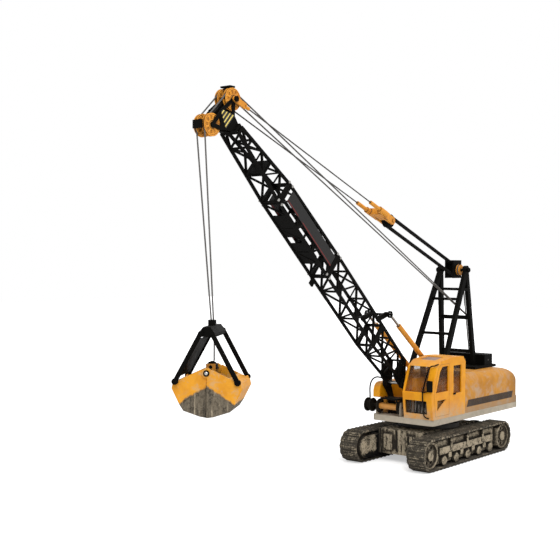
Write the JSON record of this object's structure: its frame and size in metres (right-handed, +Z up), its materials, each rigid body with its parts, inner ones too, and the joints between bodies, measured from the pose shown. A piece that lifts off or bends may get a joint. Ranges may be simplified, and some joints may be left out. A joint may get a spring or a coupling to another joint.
{
  "type": "toy crawler crane",
  "caption": "Toy crawler crane with a turning house and cab, a luffing lattice boom on a gantry, backstops, and a roped two-shell grab.",
  "frame": {"origin": "middle of the crane's bounding box, on the ground under the tracks", "axes": "+X along the boom, from the house to the grab; +Y to the cab's side; +Z up"},
  "size_m": [0.88, 0.174, 0.611],
  "materials": {
    "body_yellow": "dusty satin",
    "black_plastic": "satin black",
    "track": "dry mud over black",
    "chassis": "dry mud",
    "deck_grey": "dusty",
    "wheel": "muddy black",
    "steel": "bright",
    "iron": "raw",
    "cab_glass": "tinted",
    "seat": "matte",
    "rope": "braided",
    "sign": "satin",
    "power": "matte",
    "shell_yellow": "scuffed and muddy"
  },
  "bodies": {
    "undercarriage": {"chassis": "chassis", "slew_ring": "black_plastic", "left_track_frame": "track", "right_track_frame": "track", "left_belt": "track", "right_belt": "track", "drive_units": "black_plastic"},
    "left_drive": {"left_sprocket": "wheel"},
    "right_drive": {"right_sprocket": "wheel"},
    "left_idle": {"left_idler": "wheel"},
    "right_idle": {"right_idler": "wheel"},
    "upper": {"deck": "deck_grey", "house": "body_yellow", "side_box": "body_yellow", "cab_shell": "body_yellow", "cab_glazing": "cab_glass", "cab_seat": "seat", "cab_rails": "black_plastic", "hood": "black_plastic", "gantry": "black_plastic", "gantry_head": "black_plastic", "foot_bracket": "black_plastic", "winch_plates": "deck_grey", "motors": "steel", "power_pack": "power", "counterweight": "iron", "rope_tails": "rope", "reel_cable": "rope"},
    "winch": {"winch_drum": "body_yellow"},
    "reel": {"cable_reel": "black_plastic"},
    "hoist_spool": {"hoist_drum": "steel"},
    "luff_spool": {"luff_drum": "steel"},
    "gantry_pack": {"gantry_sheaves": "black_plastic"},
    "lead": {"lead_sheave": "body_yellow"},
    "boom": {"boom_lower": "black_plastic", "boom_middle": "black_plastic", "boom_top": "black_plastic", "boom_pins": "steel", "sign_panels": "sign", "boom_head": "black_plastic", "head_ropes": "rope"},
    "head_pair": {"head_sheaves": "body_yellow"},
    "nose_pair": {"nose_sheaves": "body_yellow"},
    "luff_line": {"clevis_links": "body_yellow", "pendants": "rope", "spreader": "body_yellow"},
    "spreader_pack": {"spreader_sheaves": "black_plastic"},
    "luff_falls": {"falls": "rope"},
    "hoist_run": {"hoist_ropes": "rope"},
    "hoist_feed": {"hoist_ends": "rope"},
    "stop_barrels": {"backstop_barrels": "body_yellow"},
    "stop_rods": {"backstop_rods": "steel"},
    "grab_line": {"grab_ropes": "rope"},
    "grab_top": {"grab_head": "black_plastic", "closing_rope": "rope"},
    "left_rods": {"left_arms": "black_plastic"},
    "right_rods": {"right_arms": "black_plastic"},
    "grab_block": {"lower_block": "black_plastic"},
    "left_scoop": {"left_shell": "shell_yellow"},
    "right_scoop": {"right_shell": "shell_yellow"}
  },
  "joints": [
    {"name": "left_track_drive", "type": "hinge", "parent": "undercarriage", "child": "left_drive", "pos_m": [-0.32904, 0.0695, 0.0285], "axis": [0, 1, 0], "continuous": true},
    {"name": "right_track_drive", "type": "hinge", "parent": "undercarriage", "child": "right_drive", "pos_m": [-0.32904, -0.0695, 0.0285], "axis": [0, 1, 0], "continuous": true},
    {"name": "left_idler_spin", "type": "hinge", "parent": "undercarriage", "child": "left_idle", "pos_m": [-0.06504, 0.0695, 0.0285], "axis": [0, 1, 0], "continuous": true},
    {"name": "right_idler_spin", "type": "hinge", "parent": "undercarriage", "child": "right_idle", "pos_m": [-0.06504, -0.0695, 0.0285], "axis": [0, 1, 0], "continuous": true},
    {"name": "slew", "type": "hinge", "parent": "undercarriage", "child": "upper", "pos_m": [-0.19704, 0, 0.07], "axis": [0, 0, 1], "continuous": true},
    {"name": "winch_spin", "type": "hinge", "parent": "upper", "child": "winch", "pos_m": [-0.11304, -0.03, 0.097], "axis": [0, 1, 0], "continuous": true},
    {"name": "reel_spin", "type": "hinge", "parent": "upper", "child": "reel", "pos_m": [-0.11304, -0.072, 0.097], "axis": [0, 1, 0], "continuous": true},
    {"name": "hoist_drum_spin", "type": "hinge", "parent": "upper", "child": "hoist_spool", "pos_m": [-0.37304, 0.01, 0.1665], "axis": [0, -1, 0], "continuous": true},
    {"name": "luff_drum_spin", "type": "hinge", "parent": "upper", "child": "luff_spool", "pos_m": [-0.37304, -0.03, 0.1665], "axis": [0, -1, 0], "continuous": true},
    {"name": "gantry_pack_spin", "type": "hinge", "parent": "upper", "child": "gantry_pack", "pos_m": [-0.32804, -0.025, 0.343], "axis": [0, -1, 0], "continuous": true},
    {"name": "lead_spin", "type": "hinge", "parent": "upper", "child": "lead", "pos_m": [-0.32804, -0.0105, 0.343], "axis": [0, -1, 0], "continuous": true},
    {"name": "boom_luff", "type": "hinge", "parent": "upper", "child": "boom", "pos_m": [-0.12154, -0.025, 0.14], "axis": [0, -1, 0], "range_deg": [-6, 20]},
    {"name": "head_spin", "type": "hinge", "parent": "boom", "child": "head_pair", "pos_m": [0.33333, -0.025, 0.59128], "axis": [0, -1, 0], "continuous": true},
    {"name": "nose_spin", "type": "hinge", "parent": "boom", "child": "nose_pair", "pos_m": [0.3772, -0.025, 0.55004], "axis": [0, -1, 0], "continuous": true},
    {"name": "luff_line_swing", "type": "hinge", "parent": "boom", "child": "luff_line", "pos_m": [0.33333, -0.025, 0.59128], "axis": [0, -1, 0], "range_deg": [-3.23, 1.32]},
    {"name": "spreader_spin", "type": "hinge", "parent": "luff_line", "child": "spreader_pack", "pos_m": [-0.09399, -0.025, 0.43086], "axis": [0, -1, 0], "continuous": true},
    {"name": "falls_take_up", "type": "slide", "parent": "luff_line", "child": "luff_falls", "axis": [0.9362, 0, 0.3515], "range_m": [-0.02914, 0.09597], "deforming": ["falls"]},
    {"name": "hoist_run_swing", "type": "hinge", "parent": "boom", "child": "hoist_run", "pos_m": [0.33333, -0.025, 0.59128], "axis": [0, -1, 0], "range_deg": [-3.9, 1.52], "deforming": ["hoist_ropes"]},
    {"name": "hoist_run_feed", "type": "slide", "parent": "hoist_run", "child": "hoist_feed", "axis": [0.8874, 0, 0.4611], "range_m": [-0.02259, 0.07412], "deforming": ["hoist_ends"]},
    {"name": "stop_swing", "type": "hinge", "parent": "upper", "child": "stop_barrels", "pos_m": [-0.20904, -0.025, 0.159], "axis": [0, -1, 0], "range_deg": [-4.65, 14.32]},
    {"name": "stop_stroke", "type": "slide", "parent": "stop_barrels", "child": "stop_rods", "axis": [0.8022, 0, 0.5971], "range_m": [-0.02571, 0.00806]},
    {"name": "grab_line_swing", "type": "hinge", "parent": "boom", "child": "grab_line", "pos_m": [0.3772, -0.025, 0.55004], "axis": [0, -1, 0], "range_deg": [-20, 6]},
    {"name": "grab_hoist", "type": "slide", "parent": "grab_line", "child": "grab_top", "axis": [0, 0, 1], "range_m": [-0.08, 0.18], "deforming": ["grab_ropes"]},
    {"name": "grab_open", "type": "slide", "parent": "grab_top", "child": "grab_block", "axis": [0, 0, 1], "range_m": [-0.02634, 0], "deforming": ["closing_rope"]},
    {"name": "left_arm_swing", "type": "hinge", "parent": "grab_top", "child": "left_rods", "pos_m": [0.38332, -0.01736, 0.258], "axis": [-0.8572, -0.515, 0], "range_deg": [-0.2, 0.7]},
    {"name": "right_arm_swing", "type": "hinge", "parent": "grab_top", "child": "right_rods", "pos_m": [0.37507, -0.00364, 0.258], "axis": [0.8572, 0.515, 0], "range_deg": [-0.2, 0.7]},
    {"name": "left_shell_open", "type": "hinge", "parent": "grab_block", "child": "left_scoop", "pos_m": [0.3792, -0.0105, 0.203], "axis": [-0.8572, -0.515, 0], "range_deg": [-0.1, 34.2]},
    {"name": "right_shell_open", "type": "hinge", "parent": "grab_block", "child": "right_scoop", "pos_m": [0.3792, -0.0105, 0.203], "axis": [0.8572, 0.515, 0], "range_deg": [-0.1, 34.2]}
  ],
  "couplings": [
    {"joint": "left_idler_spin", "follows": "left_track_drive", "ratio": 1},
    {"joint": "right_idler_spin", "follows": "right_track_drive", "ratio": 1},
    {"joint": "luff_line_swing", "follows": "boom_luff", "ratio": -0.13661},
    {"joint": "falls_take_up", "follows": "boom_luff", "m_per_rad": 0.27349},
    {"joint": "hoist_run_swing", "follows": "boom_luff", "ratio": -0.17004},
    {"joint": "hoist_run_feed", "follows": "boom_luff", "m_per_rad": 0.21091},
    {"joint": "stop_swing", "follows": "boom_luff", "ratio": 0.69103},
    {"joint": "stop_stroke", "follows": "boom_luff", "m_per_rad": -0.072226},
    {"joint": "grab_line_swing", "follows": "boom_luff", "ratio": -1},
    {"joint": "nose_spin", "follows": "grab_hoist", "rad_per_m": 76.923},
    {"joint": "head_spin", "follows": "grab_hoist", "rad_per_m": 76.923},
    {"joint": "hoist_drum_spin", "follows": "grab_hoist", "rad_per_m": 169.49},
    {"joint": "left_arm_swing", "follows": "grab_open", "rad_per_m": -0.33131},
    {"joint": "right_arm_swing", "follows": "grab_open", "rad_per_m": -0.33131},
    {"joint": "left_shell_open", "follows": "grab_open", "rad_per_m": -22.529},
    {"joint": "right_shell_open", "follows": "grab_open", "rad_per_m": -22.529}
  ]
}
